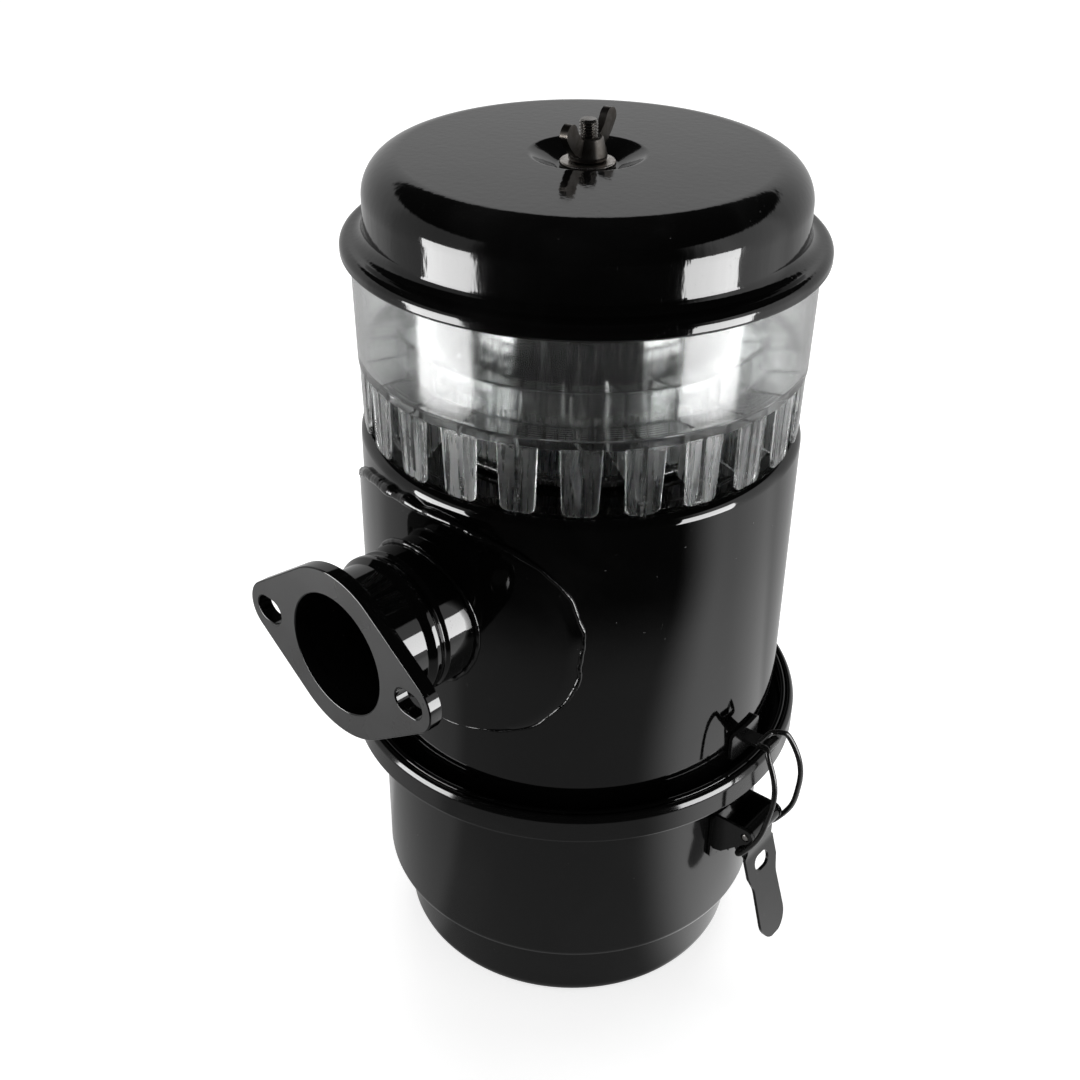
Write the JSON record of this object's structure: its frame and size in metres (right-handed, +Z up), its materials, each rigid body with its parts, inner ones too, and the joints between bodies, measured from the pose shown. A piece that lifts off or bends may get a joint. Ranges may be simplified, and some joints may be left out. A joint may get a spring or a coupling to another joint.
{
  "type": "oil bath air filter",
  "caption": "Upright oil bath air filter with a clear pre-cleaner bowl, pressed cover, side outlet with a bolted flange, and an oil cup held by toggle latches.",
  "frame": {"origin": "centre of the oil cup's flat base, where the filter stands", "axes": "+Z up through the wing nut, the outlet flange faces -Y, one latch is near +X and its twin near -X"},
  "size_m": [0.195, 0.1936, 0.3186],
  "materials": {
    "black_paint": "gloss",
    "clear_plastic": "clear, polished",
    "zinc_plate": "bright zinc plate",
    "rubber": "matt",
    "wire_wool": "oiled wire wool",
    "spring_wire": "black gloss on spring wire"
  },
  "bodies": {
    "filter": {"oil_cup": "black_paint", "oil_baffle": "black_paint", "cup_gasket": "rubber", "body_shell": "black_paint", "inlet_neck": "black_paint", "center_tube": "black_paint", "stud_bridge": "black_paint", "stud": "zinc_plate", "lower_grid": "zinc_plate", "mesh_pack": "wire_wool", "upper_grid": "zinc_plate", "outlet_pad": "black_paint", "outlet_neck": "black_paint", "outlet_flange": "black_paint", "precleaner_bowl": "clear_plastic", "cover_gasket": "rubber", "cover": "black_paint", "washer": "zinc_plate", "strike_hook_right": "black_paint", "latch_bracket_right": "black_paint", "lever_pin_right": "zinc_plate", "strike_hook_left": "black_paint", "latch_bracket_left": "black_paint", "lever_pin_left": "zinc_plate"},
    "nut": {"wing_nut": "zinc_plate"},
    "lever_right": {"latch_lever_right": "black_paint"},
    "bail_right": {"bail_wire_right": "spring_wire"},
    "lever_left": {"latch_lever_left": "black_paint"},
    "bail_left": {"bail_wire_left": "spring_wire"}
  },
  "joints": [
    {"name": "nut_spin", "type": "hinge", "parent": "filter", "child": "nut", "pos_m": [0, 0, 0.3051], "axis": [0, 0, 1], "continuous": true},
    {"name": "lever_right_hinge", "type": "hinge", "parent": "filter", "child": "lever_right", "pos_m": [0.08556, 0.00869, 0.079], "axis": [0.1011, -0.9949, 0], "range_deg": [0, 120]},
    {"name": "bail_right_hinge", "type": "hinge", "parent": "lever_right", "child": "bail_right", "pos_m": [0.0835, 0.00848, 0.07127], "axis": [0.1011, -0.9949, 0], "range_deg": [-103.2, 0]},
    {"name": "lever_left_hinge", "type": "hinge", "parent": "filter", "child": "lever_left", "pos_m": [-0.08556, -0.00869, 0.079], "axis": [-0.1011, 0.9949, 0], "range_deg": [0, 120]},
    {"name": "bail_left_hinge", "type": "hinge", "parent": "lever_left", "child": "bail_left", "pos_m": [-0.0835, -0.00848, 0.07127], "axis": [-0.1011, 0.9949, 0], "range_deg": [-103.2, 0]}
  ],
  "couplings": [
    {"joint": "bail_right_hinge", "follows": "lever_right_hinge", "ratio": -0.86},
    {"joint": "bail_left_hinge", "follows": "lever_left_hinge", "ratio": -0.86}
  ]
}
